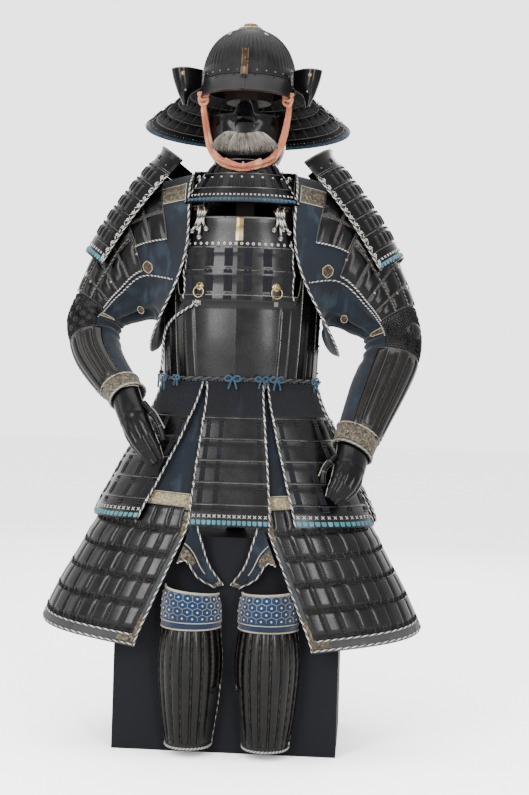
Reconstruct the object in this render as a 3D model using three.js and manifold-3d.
// Suit of plate and lacing armour on its box stand: helmet, mask, cuirass, shoulder
// guards, armoured sleeves, tassets, thigh apron and shin guards, in millimetres.
// X is to the right seen from the front, the front faces -Y, and Z is up from the floor.
import * as THREE from "three";
import { mergeVertices } from "three/addons/utils/BufferGeometryUtils.js";
import Module from "manifold-3d";

const wasm = await Module();
wasm.setup();

// Driving dimensions
const GAP = 0.4; // running gap between neighbours
const CLOTH = 2;
const PLATE = 2.4;
const LIP = PLATE + GAP + 0.8; // how far a lame's top edge stands out over the lame above it
const BOX = { width: 470, depth: 340, height: 450 };
const WAIST_Z = 765;
const HELMET = { rimZ: 1418, topZ: 1548, halfWidth: 103, halfDepth: 121, bulge: 2.4 };

const radians = THREE.MathUtils.degToRad;
const mix = THREE.MathUtils.lerp;
const clamp = THREE.MathUtils.clamp;
const smooth = THREE.MathUtils.smoothstep;
const point = (x, y, z) => new THREE.Vector3(x, y, z);

const finish = (color, roughness, metalness) =>
  new THREE.MeshStandardMaterial({ color, roughness, metalness });
const LOOKS = {
  lacquer: finish(0x26262a, 0.3, 0.2),
  russet: finish(0x3a3a3c, 0.5, 0.4),
  brass: finish(0xb99a55, 0.35, 0.9),
  bronze: finish(0x8d7a63, 0.5, 0.7),
  indigo: finish(0x2c3a4e, 0.95, 0),
  lacing: finish(0x1a1a26, 0.95, 0),
  orange: finish(0xd98a63, 0.9, 0),
  hair: finish(0x9b948e, 0.9, 0),
  hexcloth: finish(0x254f80, 0.95, 0),
  stand: finish(0x24242a, 0.9, 0),
  mixed: finish(0x8f8f92, 0.9, 0),
};

const suit = new THREE.Group();
function add(name, geometry, look) {
  const mesh = new THREE.Mesh(geometry, LOOKS[look]);
  mesh.name = name;
  suit.add(mesh);
}

// Shape tools

const stations = (count, from = 0, to = 1) =>
  Array.from({ length: count + 1 }, (_, i) => mix(from, to, i / count));

// A smooth row between the rows of a table, at a fractional row number.
function rowAt(rows, at) {
  const i = clamp(Math.floor(at), 0, rows.length - 2);
  const t = clamp(at - i, 0, 1);
  const [p, q, r, s] = [i - 1, i, i + 1, i + 2].map(
    (k) => rows[clamp(k, 0, rows.length - 1)],
  );
  const row = {};
  for (const key of Object.keys(q)) {
    const curve =
      2 * q[key] +
      (r[key] - p[key]) * t +
      (2 * p[key] - 5 * q[key] + 4 * r[key] - s[key]) * t * t +
      (3 * q[key] - p[key] - 3 * r[key] + s[key]) * t * t * t;
    row[key] = curve / 2;
  }
  return row;
}

// The same, for a table whose rows are sorted by their z, lowest first.
function rowAtZ(rows, z) {
  const i = clamp(
    rows.findIndex((row) => row.z > z) - 1,
    0,
    rows.length - 2,
  );
  const low = z >= rows[rows.length - 1].z ? rows.length - 2 : i;
  return rowAt(rows, low + (z - rows[low].z) / (rows[low + 1].z - rows[low].z));
}

// A rounded section: angle 0 is the front, 90 the +X side and 180 the back.
function onSection({ wide, front, back = front, power = 2.4 }, angle, z) {
  const s = Math.sin(radians(angle));
  const c = Math.cos(radians(angle));
  const deep = c > 0 ? front : back;
  const r = Math.pow(
    Math.pow(Math.abs(s) / wide, power) + Math.pow(Math.abs(c) / deep, power),
    -1 / power,
  );
  return point(r * s, -r * c, z);
}

// The outward normal of a surface whose u runs towards +X on the front and v downwards.
function normalOf(at, u, v, closed, face) {
  const e = 2e-3;
  const [u0, u1] = closed ? [u - e, u + e] : [Math.max(u - e, 0), Math.min(u + e, 1)];
  const [v0, v1] = [Math.max(v - e, 0), Math.min(v + e, 1)];
  const along = at(u1, v).sub(at(u0, v));
  const down = at(u, v1).sub(at(u, v0));
  return down.cross(along).normalize().multiplyScalar(face);
}

// The surface moved out along its own normal.
function moved(at, distance, { closed = false, face = 1 } = {}) {
  return (u, v) =>
    at(u, v).addScaledVector(normalOf(at, u, v, closed, face), distance);
}

function geometryFrom(points, faces) {
  let volume = 0;
  for (const [a, b, c] of faces)
    volume += points[a].dot(points[b].clone().cross(points[c]));
  const index = faces.flatMap(([a, b, c]) => (volume > 0 ? [a, b, c] : [a, c, b]));
  const geometry = new THREE.BufferGeometry().setFromPoints(points);
  geometry.setIndex(index);
  return geometry;
}

// A wall on a surface: its outer face is the surface plus lift, its inner face lies wall
// behind the surface, or behind the lifted surface where follow is set.
function sheet({ at, us, vs, wall, closed = false, face = 1, lift, follow = false }) {
  const columns = closed ? us.slice(0, -1) : us;
  const points = [[], []];
  for (const u of columns)
    for (const v of vs) {
      const n = normalOf(at, u, v, closed, face);
      const rise = lift ? lift(u, v) : 0;
      points[0].push(at(u, v).addScaledVector(n, rise));
      points[1].push(at(u, v).addScaledVector(n, (follow ? rise : 0) - wall));
    }
  const rows = vs.length;
  const inner = columns.length * rows;
  const faces = [];
  const quad = (a, b, c, d) => faces.push([a, b, c], [a, c, d]);
  const spans = closed ? columns.length : columns.length - 1;
  for (let i = 0; i < spans; i++) {
    const a = i * rows;
    const b = ((i + 1) % columns.length) * rows;
    for (let j = 0; j < rows - 1; j++) {
      quad(a + j, a + j + 1, b + j + 1, b + j);
      quad(inner + a + j, inner + b + j, inner + b + j + 1, inner + a + j + 1);
    }
    quad(a, b, inner + b, inner + a);
    const end = rows - 1;
    quad(b + end, a + end, inner + a + end, inner + b + end);
  }
  if (!closed)
    for (let j = 0; j < rows - 1; j++) {
      quad(j + 1, j, inner + j, inner + j + 1);
      const last = (columns.length - 1) * rows;
      quad(last + j, last + j + 1, inner + last + j + 1, inner + last + j);
    }
  return geometryFrom(points.flat(), faces);
}

function mirrored(geometry) {
  const flipped = geometry.clone().scale(-1, 1, 1);
  const order = Array.from(flipped.index.array);
  for (let i = 0; i < order.length; i += 3)
    [order[i + 1], order[i + 2]] = [order[i + 2], order[i + 1]];
  return flipped.setIndex(order);
}

// A round cord along points chosen by hand.
function cord(points, radius, steps, sides = 6, closed = false) {
  const ring = new THREE.Shape(
    stations(sides - 1, 0, (2 * Math.PI * (sides - 1)) / sides).map(
      (t) => new THREE.Vector2(radius * Math.cos(t), radius * Math.sin(t)),
    ),
  );
  const extrudePath = new THREE.CatmullRomCurve3(points, closed, "centripetal");
  return new THREE.ExtrudeGeometry(ring, { steps, extrudePath });
}

function manifoldOf(geometry) {
  const bare = geometry.clone();
  bare.deleteAttribute("normal");
  bare.deleteAttribute("uv");
  const merged = mergeVertices(bare, 1e-3);
  return new wasm.Manifold(
    new wasm.Mesh({
      numProp: 3,
      vertProperties: new Float32Array(merged.attributes.position.array),
      triVerts: new Uint32Array(merged.index.array),
    }),
  );
}

function joined(...geometries) {
  const solid = geometries.map(manifoldOf).reduce((a, b) => a.add(b));
  const mesh = solid.getMesh();
  const geometry = new THREE.BufferGeometry();
  geometry.setAttribute("position", new THREE.BufferAttribute(mesh.vertProperties, 3));
  geometry.setIndex(Array.from(mesh.triVerts));
  return geometry;
}

const turned = (profile, sides) =>
  new THREE.LatheGeometry(
    profile.map(([r, z]) => new THREE.Vector2(r, z)),
    sides,
  ).rotateX(Math.PI / 2);

const block = (width, depth, height, x, y, z) =>
  new THREE.BoxGeometry(width, depth, height).translate(x, y, z);

// The body's sections, from the waist to the shoulder

const TORSO = [
  { z: 765, wide: 168, front: 120, back: 108 },
  { z: 850, wide: 170, front: 130, back: 114 },
  { z: 985, wide: 172, front: 139, back: 122 },
  { z: 1060, wide: 164, front: 134, back: 118 },
  { z: 1150, wide: 140, front: 118, back: 104 },
];
const KEEL = 5; // the cuirass front comes to a soft edge at its middle

function onTorso(angle, z) {
  const p = onSection({ ...rowAtZ(TORSO, z), power: 2.4 }, angle, z);
  const keel = angle > -90 && angle < 90 ? KEEL * Math.exp(-Math.abs(p.x) / 45) : 0;
  return p.setY(p.y - keel);
}

// A lame's outline down its height: it stands out at the top, over the lame above.
const LIP_END = 12;
const LIP_FADE = 19;
const lipLift = (below) => LIP * (1 - smooth(below, LIP_END, LIP_FADE));

// A lame between two heights on a surface given by angle and height.
function lame({ on, from, to, low, high, across, lip = true, rows = [0.5] }) {
  const topOf = typeof high === "function" ? high : () => high;
  const at = (u, v) => {
    const angle = mix(from, to, u);
    return on(angle, mix(topOf(angle), low, v));
  };
  const tall = topOf((from + to) / 2) - low;
  const lipRows = lip ? [LIP_END / tall, LIP_FADE / tall] : [];
  return sheet({
    at,
    us: stations(across),
    vs: [0, ...lipRows, ...rows, 1].sort((a, b) => a - b),
    wall: PLATE,
    follow: true,
    lift: lip ? (u, v) => lipLift(v * tall) : undefined,
  });
}

// Stand

const YOKE = { reach: 104, thick: 26, deep: 14 };
const POST = { wide: 40, y: 4 };
const STRAP_TOP = 1235;

function standFrame() {
  const yokeTop = STRAP_TOP - STRAP.wall - GAP;
  const yoke = block(2 * YOKE.reach, YOKE.deep, YOKE.thick, 0, 0, yokeTop - YOKE.thick / 2);
  const head = turned(
    [
      [0, 1390],
      [50, 1390],
      [58, 1420],
      [56, 1485],
      [44, 1522],
      [22, HELMET.topZ - PLATE - 5],
      [0, HELMET.topZ - PLATE - GAP],
    ],
    14,
  );
  const postFoot = BOX.height + GAP;
  const postTop = 1400;
  const post = block(
    POST.wide,
    POST.wide,
    postTop - postFoot,
    0,
    POST.y,
    (postTop + postFoot) / 2,
  );
  return joined(post, yoke, head);
}

// Two pegs on the box face reach into the shin guards and carry them.
const SHIN_PEG = { wide: 16, tall: 12, z: 290 };
function standBox() {
  const body = block(BOX.width, BOX.depth, BOX.height, 0, 0, BOX.height / 2);
  const pegs = SHINS.map(({ centre }) => {
    const root = 10 - BOX.depth / 2;
    const tip = onShin(centre, 12, SHIN_PEG.z).y + SHIN_WALL + GAP;
    const middle = (root + tip) / 2;
    return block(SHIN_PEG.wide, root - tip, SHIN_PEG.tall, centre, middle, SHIN_PEG.z);
  });
  return joined(body, ...pegs);
}

// Helmet

const bowlAt = (u, v) => {
  const { rimZ, topZ, halfWidth, halfDepth, bulge } = HELMET;
  const rise = radians(90 * (1 - v));
  const across = Math.pow(Math.cos(rise), 2 / bulge);
  const up = Math.pow(Math.sin(rise), 2 / bulge);
  const spin = 2 * Math.PI * u;
  return point(
    halfWidth * across * Math.sin(spin),
    -halfDepth * across * Math.cos(spin),
    rimZ + (topZ - rimZ) * up,
  );
};

// The bowl is a dome with a wall, closed at the crown by its own top points.
function helmetBowl() {
  const sides = 24;
  const rings = 6;
  const points = [];
  const faces = [];
  const shells = [0, PLATE];
  shells.forEach((inset) => {
    const shrink = point(
      1 - inset / HELMET.halfWidth,
      1 - inset / HELMET.halfDepth,
      1 - inset / (HELMET.topZ - HELMET.rimZ),
    );
    const base = point(0, 0, HELMET.rimZ);
    const place = (u, v) => bowlAt(u, v).sub(base).multiply(shrink).add(base);
    for (let j = 1; j <= rings; j++)
      for (let i = 0; i < sides; i++) points.push(place(i / sides, j / rings));
    points.push(place(0, 0));
  });
  const shell = sides * rings + 1;
  const id = (s, i, j) => s * shell + (j - 1) * sides + (i % sides);
  for (let i = 0; i < sides; i++) {
    for (const s of [0, 1]) {
      const order = (a, b, c) => faces.push(s ? [a, c, b] : [a, b, c]);
      order(s * shell + shell - 1, id(s, i, 1), id(s, i + 1, 1));
      for (let j = 1; j < rings; j++) {
        order(id(s, i, j), id(s, i, j + 1), id(s, i + 1, j + 1));
        order(id(s, i, j), id(s, i + 1, j + 1), id(s, i + 1, j));
      }
    }
    faces.push([id(0, i, rings), id(1, i, rings), id(1, i + 1, rings)]);
    faces.push([id(0, i, rings), id(1, i + 1, rings), id(0, i + 1, rings)]);
  }
  return geometryFrom(points, faces);
}

function helmetFinial() {
  const z = HELMET.topZ + GAP;
  return turned(
    [
      [0, z],
      [10, z],
      [22, z - 1],
      [33, z - 3],
      [35, z - 2],
      [26, z + 3],
      [25, z + 7],
      [16, z + 9],
      [15, z + 15],
      [9, z + 16],
      [0, z + 16],
    ],
    12,
  );
}

const VISOR = { half: 60, innerWide: 104.1, innerDeep: 122.1, outerWide: 121, outerDeep: 166 };
VISOR.topZ = 1432;
VISOR.lowZ = 1386;
const visorAt = (u, v) => {
  const angle = mix(-VISOR.half, VISOR.half, u);
  const spread = Math.pow(v, 0.8) * (1 - 0.55 * Math.pow(Math.abs(angle) / VISOR.half, 3));
  const wide = mix(VISOR.innerWide, VISOR.outerWide, spread);
  const front = mix(VISOR.innerDeep, VISOR.outerDeep, spread);
  return onSection({ wide, front, power: 2 }, angle, mix(VISOR.topZ, VISOR.lowZ, v));
};

const CREST = { wide: 13, tall: 46, foot: 1440 };
function crestHolder() {
  const thick = 4;
  const at = (u, v) => {
    const z = mix(CREST.foot + CREST.tall, CREST.foot, v);
    const lift = (z - HELMET.rimZ) / (HELMET.topZ - HELMET.rimZ);
    const deep = HELMET.halfDepth * Math.pow(1 - Math.pow(lift, HELMET.bulge), 1 / HELMET.bulge);
    const y = -deep - GAP - thick - 0.6;
    return point(mix(-CREST.wide / 2, CREST.wide / 2, u), y, z);
  };
  const strip = sheet({ at, us: stations(1), vs: stations(5), wall: thick });
  return strip;
}

// The turned-back ears: each leaves the front edge of the top neck lame and curls outwards.
const EAR = [
  { z: 1372, rootX: 128, rootY: -64, outer: 137 },
  { z: 1397, rootX: 122, rootY: -58, outer: 147 },
  { z: 1414, rootX: 101, rootY: -47, outer: 153 },
  { z: 1430, rootX: 99, rootY: -47, outer: 158 },
  { z: 1452, rootX: 99, rootY: -47, outer: 162 },
];
const earAt = (u, v) => {
  const z = mix(1452, 1372, v);
  const { rootX, rootY, outer } = rowAtZ(EAR, z);
  const reach = mix(rootX, outer, u);
  const curl = 0.6 * (outer - rootX) * Math.sin(2.3 * u);
  return point(reach, rootY - curl, z - 4 * u * (1 - v));
};
const helmetEar = () =>
  sheet({ at: earAt, us: stations(5), vs: stations(5), wall: PLATE });

// The neck guard's cone: each lame stands out over the one above it.
const NECK = {
  count: 5,
  from: 66,
  top: { wide: 105, front: 123, back: 123, z: 1421 },
  low: { wide: 226, front: 222, back: 214, z: 1332 },
};
const neckAt = (angle, s) => {
  const flare = Math.pow(s, 0.92);
  const section = {
    wide: mix(NECK.top.wide, NECK.low.wide, flare),
    front: mix(NECK.top.front, NECK.low.front, flare),
    back: mix(NECK.top.back, NECK.low.back, flare),
    power: 2,
  };
  const droop = 8 * s * Math.pow(Math.sin(radians(angle / 2)), 4);
  return onSection(section, angle, mix(NECK.top.z, NECK.low.z, s) - droop);
};
function neckGuardLame(index) {
  const overlap = index ? 0.32 / NECK.count : 0;
  const from = index / NECK.count - overlap;
  const to = (index + 1) / NECK.count;
  const at = (u, v) => neckAt(mix(NECK.from, 360 - NECK.from, u), mix(from, to, v));
  const stand = index ? LIP - 0.7 : 0;
  return sheet({
    at,
    us: stations(18),
    vs: [0, 0.32, 0.52, 1],
    wall: PLATE,
    follow: true,
    lift: (u, v) => stand * (1 - smooth(v, 0.34, 0.52)),
  });
}

// Mask

const MASK = { topZ: 1378, chinZ: 1253, half: 90, wide: 85, deep: 99 };
MASK.noseTipZ = 1337;
function maskPlain(angle, z) {
  const low = clamp((MASK.chinZ + 52 - z) / 52, 0, 1);
  const draw = 1 - 0.2 * low * low;
  const front = MASK.deep * (1 - 0.13 * low * low);
  return onSection({ wide: MASK.wide * draw, front, power: 2.2 }, angle, z);
}
function maskNose(x, z) {
  const drop = clamp((MASK.topZ - z) / (MASK.topZ - MASK.noseTipZ), 0, 1);
  const fade = 1 - smooth(MASK.noseTipZ - z, 0, 7);
  const half = mix(8, 14, drop);
  return mix(5, 22, drop) * fade * Math.exp(-Math.pow(x / half, 2));
}
function maskTop(angle) {
  const bridge = smooth(13 - Math.abs(angle), 0, 6);
  const temple = smooth(Math.abs(angle), 44, 62);
  return mix(mix(1350, 1366, temple), MASK.topZ, bridge);
}
const maskAt = (u, v) => {
  const angle = MASK.half * Math.sign(u - 0.5) * Math.pow(Math.abs(2 * u - 1), 1.25);
  const p = maskPlain(angle, mix(maskTop(angle), MASK.chinZ, v));
  return p.setY(p.y - maskNose(p.x, p.z));
};
const faceMask = () =>
  sheet({ at: maskAt, us: stations(16), vs: stations(9), wall: PLATE });

// The moustache: a fan of locks that stands off the mask below the nose.
const HAIR = { topZ: 1326, lowZ: 1271, half: 43, thick: 17, locks: 20, notch: 20 };
const hairAt = (u, v) => {
  const side = 2 * u - 1;
  const lift = 8 * side * side;
  const angle = HAIR.half * side * mix(0.78, 1, v);
  const parting = HAIR.notch * Math.exp(-Math.pow(side / 0.7, 2));
  const z = mix(HAIR.topZ - lift * 1.5 - parting, HAIR.lowZ + lift * 0.9, v);
  const p = maskPlain(angle, z);
  const out = GAP + 1 + HAIR.thick * (0.55 + 0.45 * v) * (1 - 0.35 * side * side);
  return p.add(point(p.x, p.y, 0).normalize().multiplyScalar(out));
};
function moustache() {
  const back = (u, v) => {
    const p = hairAt(u, v);
    const side = 2 * u - 1;
    const angle = HAIR.half * side * mix(0.78, 1, v);
    const q = maskPlain(angle, p.z);
    return q.add(point(q.x, q.y, 0).normalize().multiplyScalar(GAP + 0.6));
  };
  const us = stations(HAIR.locks);
  const vs = stations(3);
  const ridge = (i) => (i % 2 ? 1.6 : -0.8);
  const tooth = (i, j) => (i % 2 && j === vs.length - 1 ? 5 : 0);
  const points = [[], []];
  us.forEach((u, i) =>
    vs.forEach((v, j) => {
      const p = hairAt(u, v);
      const out = point(p.x, p.y, 0).normalize();
      points[0].push(p.addScaledVector(out, ridge(i)).setZ(p.z - tooth(i, j)));
      points[1].push(back(u, v));
    }),
  );
  const rows = vs.length;
  const inner = us.length * rows;
  const faces = [];
  const quad = (a, b, c, d) => faces.push([a, b, c], [a, c, d]);
  const end = rows - 1;
  const last = (us.length - 1) * rows;
  for (let a = 0; a < last; a += rows) {
    const b = a + rows;
    for (let j = 0; j < end; j++) {
      quad(a + j, a + j + 1, b + j + 1, b + j);
      quad(inner + a + j, inner + b + j, inner + b + j + 1, inner + a + j + 1);
    }
    quad(a, b, inner + b, inner + a);
    quad(b + end, a + end, inner + a + end, inner + b + end);
  }
  for (let j = 0; j < end; j++) {
    quad(j + 1, j, inner + j, inner + j + 1);
    quad(last + j, last + j + 1, inner + last + j + 1, inner + last + j);
  }
  return geometryFrom(points.flat(), faces);
}

// The throat guard hangs from the mask and spreads over the chest: three stepped lames.
const THROAT = { half: 50, topZ: MASK.chinZ - GAP - 0.2, lowZ: 1154, lames: 3 };
const throatAt = (u, v) => {
  const spread = Math.pow(v, 0.9);
  const section = { wide: mix(68, 160, spread), front: mix(86.5, 143, spread), power: 2.3 };
  const angle = mix(-THROAT.half, THROAT.half, u);
  return onSection(section, angle, mix(THROAT.topZ, THROAT.lowZ, v));
};

// Heights down a stepped panel: each lame starts proud and ends flush.
const STEP = 2.2;
const STEP_EDGE = 0.02;
function stepRows(lames, from = 0) {
  const rows = [from];
  for (let k = 1; k < lames; k++) {
    const v = mix(from, 1, k / lames);
    rows.push(v - STEP_EDGE / 2, v + STEP_EDGE / 2);
  }
  return [...rows, 1];
}
const stepLift = (lames, from = 0) => (u, v) => {
  if (v < from) return 0;
  const along = ((v - from) / (1 - from)) * lames;
  return STEP * (1 - clamp(along - Math.floor(along + 1e-9), 0, 1));
};

// The chin cord runs from the helmet's rim, outside the cheeks and under the chin.
const CHIN_CORD = { radius: 4.6 };
const CHIN_ROUTE = [
  [-90.6, -68.4, 1396],
  [-90, -61, 1366],
  [-85, -54, 1336],
  [-79, -56, 1308],
  [-70, -64, 1280],
  [-54, -74, 1259],
  [-32, -96, 1244],
  [0, -106, 1236],
  [32, -96, 1243],
  [55, -74, 1258],
  [71, -64, 1281],
  [80, -56, 1310],
  [86, -53, 1338],
  [91, -60, 1367],
  [90.6, -68.4, 1396],
];

// Cuirass

const CHEST = { half: 46, breastTop: 1150, neckTop: 1124, lacing: 1052, row1: 1003, row2: 950 };
const OVERLAP = 8;

function breastTop(angle) {
  return mix(CHEST.neckTop, CHEST.breastTop, smooth(Math.abs(angle), 34, 39));
}
function bellyTop(angle) {
  const armpit = smooth(Math.abs(angle), CHEST.half + 3, CHEST.half + 9);
  return mix(CHEST.row2 + OVERLAP, 1042, armpit);
}
function backTop(angle) {
  const fromSpine = Math.abs(angle - 180);
  return mix(1150, 1042, smooth(fromSpine, 46, 74));
}

function bellyPlate() {
  const half = 89.9;
  const inner = CHEST.half + 3;
  const outer = CHEST.half + 9;
  const angles = [
    ...stations(4, -half, -outer),
    ...stations(10, -inner, inner),
    ...stations(4, outer, half),
  ];
  const at = (u, v) => {
    const angle = mix(-half, half, u);
    return onTorso(angle, mix(bellyTop(angle), WAIST_Z, v));
  };
  return sheet({
    at,
    us: angles.map((a) => (a + half) / (2 * half)),
    vs: [0, 0.062, 0.1, 0.55, 1],
    wall: PLATE,
    follow: true,
    lift: (u, v) => LIP * (1 - smooth(v, 0.064, 0.1)),
  });
}

function backPlate() {
  const at = (u, v) => {
    const angle = mix(90.1, 269.9, u);
    return onTorso(angle, mix(backTop(angle), WAIST_Z, v));
  };
  return sheet({ at, us: stations(16), vs: stations(4), wall: PLATE });
}

function breastPlate() {
  const half = CHEST.half + 6;
  const angles = [
    ...stations(2, -half, -39),
    ...stations(6, -34, 34),
    ...stations(2, 39, half),
  ];
  const at = (u, v) => {
    const angle = mix(-half, half, u);
    return onTorso(angle, mix(breastTop(angle), CHEST.lacing, v));
  };
  return sheet({
    at,
    us: angles.map((a) => (a + half) / (2 * half)),
    vs: stations(3),
    wall: PLATE,
  });
}

// Shoulder straps arch from the breast plate's horns to the top of the back plate.
const STRAP = { inner: 80.2, outer: 111, rise: STRAP_TOP - 1150.4, wall: 4 };
function torsoY(x, z, sign) {
  const { wide, front, back } = rowAtZ(TORSO, z);
  const deep = sign < 0 ? front : back;
  return sign * deep * Math.pow(1 - Math.pow(x / wide, 2.4), 1 / 2.4);
}
const strapAt = (u, v) => {
  const x = mix(STRAP.inner, STRAP.outer, u);
  const foot = STRAP_TOP - STRAP.rise;
  const y = mix(torsoY(x, 1150, -1), torsoY(x, 1150, 1), v);
  const arch = Math.min(1, 1.04 * Math.pow(Math.sin(Math.PI * v), 0.55));
  return point(x, y, foot + STRAP.rise * arch);
};
const shoulderStrap = () =>
  sheet({
    at: strapAt,
    us: stations(2),
    vs: [0, 0.015, 0.06, 0.16, 0.3, 0.4, 0.6, 0.7, 0.84, 0.94, 0.985, 1],
    wall: STRAP.wall,
    face: -1,
  });

// The standing collar goes round the back of the neck, inside the straps.
const COLLAR = { from: 98, wide: 80.3, back: 82, low: 1172, high: 1242 };
const collarAt = (u, v) =>
  onSection(
    { wide: COLLAR.wide, front: COLLAR.back, back: COLLAR.back, power: 2.2 },
    mix(COLLAR.from, 360 - COLLAR.from, u),
    mix(COLLAR.high, COLLAR.low, v),
  );

const WAIST_CORD = { radius: 3.6, z: 781 };
function waistCord() {
  const angles = Array.from({ length: 20 }, (_, i) => i * 18);
  const out = WAIST_CORD.radius + GAP + 1.4;
  const points = angles.map((angle) => {
    const p = onTorso(angle, WAIST_CORD.z);
    return p.add(point(p.x, p.y, 0).normalize().multiplyScalar(out + 0.5));
  });
  return cord(points, WAIST_CORD.radius, 36, 6, true);
}

// A braided tie cord leaves the chest lames, is knotted at the side and hangs down.
const SIDE_CORD = { radius: 2.6 };
const SIDE_CORD_ROUTE = [
  { angle: -34, z: 940, out: 4 },
  { angle: -44, z: 926, out: 3.6 },
  { angle: -56, z: 908, out: 3.6 },
  { angle: -66, z: 886, out: 3.8 },
  { angle: -71, z: 858, out: 5 },
  { angle: -72, z: 826, out: 7 },
  { angle: -72, z: 796, out: 10 },
];

// Two ring fittings on the lower chest lame: a ring hangs from the eye of each boss.
const RING = { from: 27.6, to: 36.8, z: 976, mean: 11.5, wire: 1.5 };
const EYE = { out: 6, mean: 3.7, wire: 1.1, boss: 8.6 };
const ringFoot = [RING.from, RING.to].map((angle) => onTorso(angle, RING.z));
const ringTurn = Math.atan2(
  ringFoot[1].y - ringFoot[0].y,
  ringFoot[1].x - ringFoot[0].x,
);
const ringSeat = ringFoot[0].clone().lerp(ringFoot[1], 0.5);

// Places what is drawn with its back at y = 0 on the face of the lame.
const onLame = (geometry) =>
  geometry
    .translate(0, -GAP - 0.2, 0)
    .rotateZ(ringTurn)
    .translate(ringSeat.x, ringSeat.y, ringSeat.z);
function ringBoss() {
  const dome = turned(
    [
      [0, 0],
      [EYE.boss, 0],
      [EYE.boss, 1.4],
      [5.4, 2.8],
      [0, 3.4],
    ],
    12,
  ).rotateX(Math.PI / 2);
  const eye = new THREE.TorusGeometry(EYE.mean, EYE.wire, 6, 12)
    .rotateY(Math.PI / 2)
    .translate(0, -EYE.out, 0);
  return onLame(joined(dome, eye));
}
function hangingRing() {
  const rest = EYE.mean - EYE.wire - RING.wire - 0.3;
  const ring = new THREE.TorusGeometry(RING.mean, RING.wire, 6, 16)
    .rotateX(Math.PI / 2)
    .translate(0, -EYE.out, -rest - RING.mean);
  return onLame(ring);
}

// Shoulder guards

const SODE = {
  top: { x: 180.8, z: 1285.2 },
  low: { x: 349.8, z: 1056.2 },
  half: 80,
  deep: 95,
  bow: 76,
  capEnd: 0.15,
  lames: 6,
};
SODE.length = Math.hypot(SODE.low.x - SODE.top.x, SODE.top.z - SODE.low.z);
SODE.out = point(
  (SODE.top.z - SODE.low.z) / SODE.length,
  0,
  (SODE.low.x - SODE.top.x) / SODE.length,
);
const sodeAt = (u, v) => {
  const spread = radians(mix(-SODE.half, SODE.half, u));
  const p = point(mix(SODE.top.x, SODE.low.x, v), 0, mix(SODE.top.z, SODE.low.z, v));
  const bow = SODE.bow * (1 - Math.cos(spread)) - 9 * Math.sin(Math.PI * v);
  p.addScaledVector(SODE.out, -bow);
  return p.setY(SODE.deep * Math.sin(spread));
};
const sodePart = (from, to) => (u, v) => sodeAt(u, mix(from, to, v));
function sodeCap() {
  const at = sodePart(0, SODE.capEnd - 0.0015);
  return sheet({
    at: moved(at, 1.2),
    us: stations(8),
    vs: [0, 0.25, 1],
    wall: PLATE + 1.2,
    lift: (u, v) => 5 * (1 - smooth(v, 0, 0.35)),
  });
}
const sodeLames = () =>
  sheet({
    at: sodePart(SODE.capEnd, 1),
    us: stations(8),
    vs: stepRows(SODE.lames),
    wall: PLATE,
    lift: stepLift(SODE.lames),
  });

// Sleeves: each row is one ring. lean turns the ring's long axis outwards from upright,
// high and deep are its half sizes, and bulge brings its front and back towards the body.
const RIGHT_SLEEVE = [
  { x: 155, y: 0, z: 1036, lean: -12.5, high: 200.8, deep: 127, bulge: 38 },
  { x: 228, y: 0, z: 1030, lean: 18, high: 141, deep: 92, bulge: 10 },
  { x: 276, y: -2, z: 975, lean: 34, high: 92, deep: 74, bulge: 0 },
  { x: 310, y: -5, z: 928, lean: 56, high: 65, deep: 62, bulge: 0 },
  { x: 324, y: -14, z: 892, lean: 84, high: 60, deep: 58, bulge: 0 },
  { x: 317, y: -34, z: 856, lean: 100, high: 54, deep: 52, bulge: 0 },
  { x: 299, y: -65, z: 818, lean: 112, high: 49, deep: 46, bulge: 0 },
  { x: 262, y: -105, z: 774, lean: 120, high: 43, deep: 41, bulge: 0 },
  { x: 226, y: -140, z: 737, lean: 124, high: 38, deep: 37, bulge: 0 },
];
const LEFT_SLEEVE = [
  { x: 163, y: 0, z: 1036, lean: -14.7, high: 202.7, deep: 127, bulge: 38 },
  { x: 230, y: 0, z: 1028, lean: 18, high: 141, deep: 92, bulge: 10 },
  { x: 284, y: 0, z: 965, lean: 34, high: 94, deep: 76, bulge: 0 },
  { x: 318, y: -5, z: 914, lean: 56, high: 67, deep: 64, bulge: 0 },
  { x: 329, y: -14, z: 872, lean: 82, high: 62, deep: 60, bulge: 0 },
  { x: 324, y: -32, z: 830, lean: 95, high: 60, deep: 55, bulge: 0 },
  { x: 300, y: -64, z: 772, lean: 106, high: 57, deep: 50, bulge: 0 },
  { x: 272, y: -102, z: 700, lean: 112, high: 49, deep: 44, bulge: 0 },
  { x: 250, y: -138, z: 634, lean: 116, high: 43, deep: 40, bulge: 0 },
];
const SLEEVE_ROWS = RIGHT_SLEEVE.length - 1;

// A point of a sleeve: turn 0 is the outer side, 90 the front, s the fractional row.
function onSleeve(rows, turn, s) {
  const row = rowAt(rows, s);
  const before = rowAt(rows, Math.max(s - 0.05, 0));
  const after = rowAt(rows, Math.min(s + 0.05, SLEEVE_ROWS));
  const along = point(after.x - before.x, after.y - before.y, after.z - before.z).normalize();
  const up = point(Math.sin(radians(row.lean)), 0, Math.cos(radians(row.lean)));
  const front = along.cross(up).normalize();
  const phi = radians(turn);
  const inward = row.bulge * Math.pow(Math.sin(phi), 4);
  return point(row.x - inward, row.y, row.z)
    .addScaledVector(up, row.high * Math.cos(phi))
    .addScaledVector(front, row.deep * Math.sin(phi));
}
const sleeveSurface = (rows) => (u, v) => onSleeve(rows, 360 * u, SLEEVE_ROWS * v);
const CLOSED_IN = { closed: true, face: -1 };

function sleeve(rows) {
  return sheet({
    at: sleeveSurface(rows),
    us: stations(18),
    vs: [0, 0.5, 1, 1.5, 2, 2.5, 3, 3.5, 4, 4.5, 5, 6, 7, 8].map(
      (s) => s / SLEEVE_ROWS,
    ),
    wall: CLOTH,
    ...CLOSED_IN,
  });
}

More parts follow.
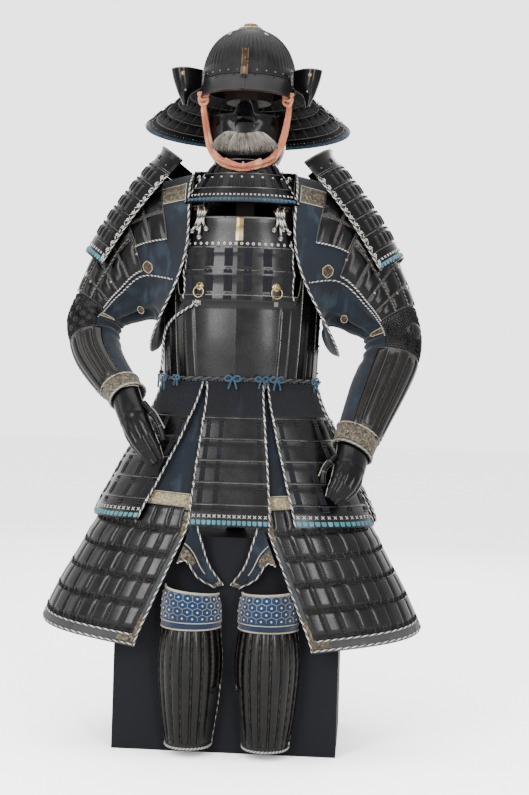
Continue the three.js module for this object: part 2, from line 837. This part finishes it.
// A stretch of a sleeve between two turns and two rows, moved out by a distance.
function armPatch(rows, { turns, span }, distance) {
  const at = (u, v) => onSleeve(rows, mix(...turns, u), mix(...span, v));
  return moved(at, distance, { face: -1 });
}
const UPPER_ARM = { turns: [-60, 100], span: [1, 3], rows: 4 };
const FOREARM = { turns: [-96, 118], span: [4.9, 7.55], splints: 9 };

function upperArmPlates(rows) {
  return sheet({
    at: armPatch(rows, UPPER_ARM, PLATE + 0.9),
    us: stations(8),
    vs: stepRows(UPPER_ARM.rows),
    wall: PLATE,
    face: -1,
    lift: (u, v) => 0.6 * stepLift(UPPER_ARM.rows)(u, v),
  });
}
function forearmSplints(rows) {
  const us = stations(FOREARM.splints * 2);
  return sheet({
    at: armPatch(rows, FOREARM, PLATE + 1.2),
    us,
    vs: stations(4),
    wall: PLATE,
    face: -1,
    lift: (u) => (Math.round(u * FOREARM.splints * 2) % 2 ? 2.6 : 0),
  });
}

// Hand guards: a shell over the back of the hand, curling at the fingers, with a thumb.
const HANDS = {
  right: {
    wrist: { x: 229, y: -137, z: 740, high: 34.2, deep: 33 },
    knuckle: { x: 186, y: -186, z: 658 },
    tip: { x: 150, y: -196, z: 604 },
    lean: 122,
  },
  left: {
    wrist: { x: 251, y: -135, z: 640, high: 37.6, deep: 34.4 },
    knuckle: { x: 236, y: -186, z: 572 },
    tip: { x: 212, y: -196, z: 536 },
    lean: 112,
  },
};
function onHand({ wrist, knuckle, tip, lean }, turn, v) {
  const path = new THREE.CatmullRomCurve3([
    point(wrist.x, wrist.y, wrist.z),
    point(
      mix(wrist.x, knuckle.x, 0.5) + 3,
      mix(wrist.y, knuckle.y, 0.55),
      mix(wrist.z, knuckle.z, 0.5) + 3,
    ),
    point(knuckle.x, knuckle.y, knuckle.z),
    point(tip.x, tip.y, tip.z),
  ]);
  const centre = path.getPoint(v);
  const along = path.getTangent(v);
  const up = point(Math.sin(radians(lean)), 0, Math.cos(radians(lean)));
  up.addScaledVector(along, -up.dot(along)).normalize();
  const front = along.clone().cross(up).normalize();
  const phi = radians(turn);
  const high = mix(wrist.high, 31, v) * (1 - 0.5 * Math.pow(v, 5));
  const deep = mix(wrist.deep, 24, v) * (1 - 0.55 * Math.pow(v, 5));
  return centre
    .addScaledVector(up, high * Math.cos(phi))
    .addScaledVector(front, deep * Math.sin(phi));
}
const HAND = { turns: [-50, 160], fingers: 4 };
function handGuard(hand) {
  const at = (u, v) => onHand(hand, mix(...HAND.turns, u), v);
  const fingerLift = (u, v) => {
    const finger = Math.abs(Math.sin(Math.PI * HAND.fingers * clamp(u * 1.25 - 0.2, 0, 1)));
    return 3.2 * finger * smooth(v, 0.45, 0.62);
  };
  const shell = sheet({
    at,
    us: stations(12),
    vs: [0, 0.25, 0.5, 0.65, 0.82, 0.93, 1],
    wall: PLATE,
    face: -1,
    lift: fingerLift,
  });
  const root = onHand(hand, 158, 0.3);
  const tip = onHand(hand, 176, 0.8).add(point(-12, -8, -2));
  const middle = root.clone().lerp(tip, 0.5).add(point(-10, -9, 0));
  return joined(shell, cord([root, middle, tip], 7.5, 4, 8));
}

// Tassets: panels on one flaring skirt. Each row gives the angles of a panel's two sides
// at the waist and at the hem, and the height of its hem.
const SKIRT = [
  { z: 470, wide: 310, front: 222, back: 205, power: 3 },
  { z: 560, wide: 270, front: 192, back: 178, power: 2.9 },
  { z: 690, wide: 205, front: 146, back: 134, power: 2.6 },
  { z: 765, wide: 172.8, front: 124.2, back: 112.3, power: 2.4 },
  { z: 776, wide: 172.8, front: 125.2, back: 112.6, power: 2.4 },
];
const onSkirt = (angle, z, inset = 0) => {
  const { wide, front, back, power } = rowAtZ(SKIRT, z);
  const section = { wide: wide - inset, front: front - inset, back: back - inset, power };
  const p = onSection(section, angle, z);
  const keel = Math.abs(angle) < 90 && z > WAIST_Z - 40 ? KEEL : 0;
  return p.setY(p.y - keel * Math.exp(-Math.abs(p.x) / 45) * smooth(z, 700, 770));
};
const TASSETS = [
  { name: "front", waist: [-27, 27], hem: [-20, 22], hemZ: 476 },
  { name: "front_right", waist: [-77, -30], hem: [-78, -43], hemZ: 484 },
  { name: "front_left", waist: [30, 77], hem: [33, 73], hemZ: 478 },
  { name: "side_right", waist: [-128, -80], hem: [-122, -83], hemZ: 486 },
  { name: "side_left", waist: [80, 128], hem: [79, 122], hemZ: 484 },
  { name: "back_right", waist: [-178.6, -131], hem: [-177, -127], hemZ: 486 },
  { name: "back_left", waist: [131, 178.6], hem: [127, 177], hemZ: 486 },
];
const TASSET = { topZ: 774, laced: 0.25, lames: 5, wall: 2.6 };
const tassetAt = ({ waist, hem, hemZ }) => (u, v) => {
  const angle = mix(mix(...waist, u), mix(...hem, u), Math.pow(v, 0.8));
  return onSkirt(angle, mix(TASSET.topZ, hemZ, v));
};
const tasset = (row) =>
  sheet({
    at: tassetAt(row),
    us: stations(row.name.startsWith("back") ? 3 : 4),
    vs: [0, 0.12, TASSET.laced - 0.01, ...stepRows(TASSET.lames, TASSET.laced)],
    wall: TASSET.wall,
    lift: stepLift(TASSET.lames, TASSET.laced),
  });

// Thigh apron: cloth under the tassets, with a panel of small plates on each leg.
const THIGH = {
  topZ: 776,
  platesTop: 512,
  inner: [
    { z: 226, angle: 37 },
    { z: 330, angle: 31.5 },
    { z: 400, angle: 27 },
    { z: 469, angle: 22 },
    { z: 776, angle: 20 },
  ],
  outer: 80,
  cornerLift: 34,
};
const APRON = [
  { z: 210, wide: 428, front: 250, back: 250, power: 2.9 },
  { z: 330, wide: 378, front: 236, back: 236, power: 3 },
  { z: 450, wide: 312, front: 214, back: 214, power: 3.1 },
  { z: 500, wide: 283, front: 199, back: 190, power: 3 },
  { z: 600, wide: 234, front: 167, back: 160, power: 2.8 },
  { z: 744, wide: 165.6, front: 115.2, back: 105, power: 2.4 },
  { z: 776, wide: 162.6, front: 114.4, back: 103.2, power: 2.4 },
];
const onApron = (angle, z) => onSection(rowAtZ(APRON, z), angle, z);
const thighAt = (u, v) => {
  const z = mix(THIGH.topZ, 226 + THIGH.cornerLift * u, v);
  const { angle } = rowAtZ(THIGH.inner, z);
  return onApron(mix(angle, THIGH.outer, u), z);
};
const thighCloth = () =>
  sheet({ at: thighAt, us: stations(8), vs: stations(7), wall: CLOTH });

const THIGH_PLATES = { rows: 5, inset: 0.055, foot: 0.95 };
const thighPlatesAt = (u, v) => {
  const top = (THIGH.topZ - THIGH.platesTop) / (THIGH.topZ - 226);
  return thighAt(mix(THIGH_PLATES.inset, 0.985, u), mix(top, THIGH_PLATES.foot, v));
};
const thighPlates = () =>
  sheet({
    at: moved(thighPlatesAt, PLATE + GAP + 0.5),
    us: stations(8),
    vs: stepRows(THIGH_PLATES.rows),
    wall: PLATE,
    lift: stepLift(THIGH_PLATES.rows),
  });

// The flap inside each thigh, between the apron's edge and the other leg.
const FLAP = [
  { topX: 67, topZ: 492, lowX: 103, lowZ: 396, y: 212 },
  { topX: 52, topZ: 440, lowX: 84, lowZ: 400, y: 204 },
  { topX: 36, topZ: 392, lowX: 60, lowZ: 366, y: 193 },
  { topX: 8, topZ: 352, lowX: 24, lowZ: 346, y: 183 },
];
const flapAt = (lift) => (u, v) => {
  const row = rowAt(FLAP, (1 - u) * (FLAP.length - 1));
  const x = mix(row.topX, row.lowX, v);
  return point(x, -row.y - lift - 5 * Math.sin(Math.PI * v), mix(row.topZ, row.lowZ, v));
};

// Shin guards: half tubes of splints, open at the back, with a quilted knee above.
const SHINS = [
  { name: "right", centre: -72, tilt: -8 },
  { name: "left", centre: 89, tilt: 4 },
];
const SHIN = [
  { z: 16, half: 47, deep: 62 },
  { z: 100, half: 58, deep: 74 },
  { z: 190, half: 65, deep: 84 },
  { z: 250, half: 60, deep: 82 },
  { z: 312, half: 50, deep: 74 },
];
const SHIN_BACK = -BOX.depth / 2 - GAP;
function onShin(centre, turn, z, out = 0) {
  const { half, deep } = rowAtZ(SHIN, z);
  const t = radians(turn);
  return point(
    centre + (half + out) * Math.sin(t),
    SHIN_BACK - 3 - (deep + out) * Math.pow(Math.abs(Math.cos(t)), 0.85),
    z,
  );
}
const SPLINTS = 9;
const SHIN_WALL = 2.6;
const shinGuard = ({ centre }) =>
  sheet({
    at: (u, v) => onShin(centre, mix(-90, 90, u), mix(300, 16, v)),
    us: stations(SPLINTS * 2),
    vs: stations(4),
    wall: SHIN_WALL,
    lift: (u) => (Math.round(u * SPLINTS * 2) % 2 ? 2 : 0),
  });
const KNEE = { low: 266, high: 342, seat: 4.5, puff: 8 };
const kneeCloth = ({ centre, tilt }) =>
  sheet({
    at: (u, v) => {
      const turn = mix(-84, 84, u);
      const top = KNEE.high + (tilt * turn) / 84;
      const puff = KNEE.seat + KNEE.puff * Math.sin(Math.PI * Math.pow(v, 0.8));
      return onShin(centre, turn, mix(top, KNEE.low, v), puff);
    },
    us: stations(10),
    vs: stations(4),
    wall: CLOTH,
  });

// Assembly

add("stand_box", standBox(), "stand");
add("stand_frame", standFrame(), "stand");

add("helmet_bowl", helmetBowl(), "russet");
add("helmet_finial", helmetFinial(), "bronze");
add(
  "helmet_visor",
  sheet({ at: visorAt, us: stations(14), vs: stations(3), wall: PLATE }),
  "russet",
);
add("crest_holder", crestHolder(), "bronze");
add("helmet_ear_left", helmetEar(), "russet");
add("helmet_ear_right", mirrored(helmetEar()), "russet");
for (let i = 0; i < NECK.count; i++)
  add(`neck_guard_${i + 1}`, neckGuardLame(i), "lacquer");

add("face_mask", faceMask(), "lacquer");
add("moustache", moustache(), "hair");
add(
  "throat_guard",
  sheet({
    at: throatAt,
    us: stations(12),
    vs: stepRows(THROAT.lames),
    wall: PLATE,
    lift: stepLift(THROAT.lames),
  }),
  "lacquer",
);
add(
  "chin_cord",
  cord(
    CHIN_ROUTE.map((p) => point(...p)),
    CHIN_CORD.radius,
    28,
    8,
  ),
  "orange",
);

add("breast_plate", breastPlate(), "lacquer");
const chestHalf = { from: -CHEST.half, to: CHEST.half, across: 10, on: onTorso };
add(
  "chest_lame_1",
  lame({ ...chestHalf, high: CHEST.lacing + OVERLAP, low: CHEST.row1 }),
  "lacquer",
);
add(
  "chest_lame_2",
  lame({ ...chestHalf, high: CHEST.row1 + OVERLAP, low: CHEST.row2 }),
  "lacquer",
);
add("belly_plate", bellyPlate(), "lacquer");
add("back_plate", backPlate(), "lacquer");
add("shoulder_strap_left", shoulderStrap(), "lacquer");
add("shoulder_strap_right", mirrored(shoulderStrap()), "lacquer");
add(
  "neck_collar",
  sheet({ at: collarAt, us: stations(12), vs: stations(2), wall: CLOTH + 1 }),
  "lacing",
);
add("waist_cord", waistCord(), "bronze");
add(
  "side_tie_cord",
  cord(
    SIDE_CORD_ROUTE.map(({ angle, z, out }) => {
      const p = onTorso(angle, z);
      return p.add(point(p.x, p.y, 0).setLength(out));
    }),
    SIDE_CORD.radius,
    18,
    8,
  ),
  "mixed",
);
add("ring_boss_left", ringBoss(), "brass");
add("ring_boss_right", mirrored(ringBoss()), "brass");
add("chest_ring_left", hangingRing(), "brass");
add("chest_ring_right", mirrored(hangingRing()), "brass");

add("shoulder_guard_cap_left", sodeCap(), "lacquer");
add("shoulder_guard_cap_right", mirrored(sodeCap()), "lacquer");
add("shoulder_guard_left", sodeLames(), "lacquer");
add("shoulder_guard_right", mirrored(sodeLames()), "lacquer");

add("sleeve_left", sleeve(LEFT_SLEEVE), "indigo");
add("sleeve_right", mirrored(sleeve(RIGHT_SLEEVE)), "indigo");
add("upper_arm_plates_left", upperArmPlates(LEFT_SLEEVE), "lacquer");
add("upper_arm_plates_right", mirrored(upperArmPlates(RIGHT_SLEEVE)), "lacquer");
add("forearm_splints_left", forearmSplints(LEFT_SLEEVE), "lacquer");
add("forearm_splints_right", mirrored(forearmSplints(RIGHT_SLEEVE)), "lacquer");
add("hand_guard_left", handGuard(HANDS.left), "lacquer");
add("hand_guard_right", mirrored(handGuard(HANDS.right)), "lacquer");

for (const row of TASSETS) add(`tasset_${row.name}`, tasset(row), "lacquer");

add("thigh_cloth_left", thighCloth(), "indigo");
add("thigh_cloth_right", mirrored(thighCloth()), "indigo");
add("thigh_plates_left", thighPlates(), "lacquer");
add("thigh_plates_right", mirrored(thighPlates()), "lacquer");
const flap = (lift) =>
  sheet({ at: flapAt(lift), us: stations(6), vs: stations(2), wall: CLOTH });
add("thigh_flap_left", flap(0), "indigo");
add("thigh_flap_right", mirrored(flap(0)), "indigo");

for (const shin of SHINS) {
  add(`shin_guard_${shin.name}`, shinGuard(shin), "lacquer");
  add(`knee_cloth_${shin.name}`, kneeCloth(shin), "hexcloth");
}

export default suit;
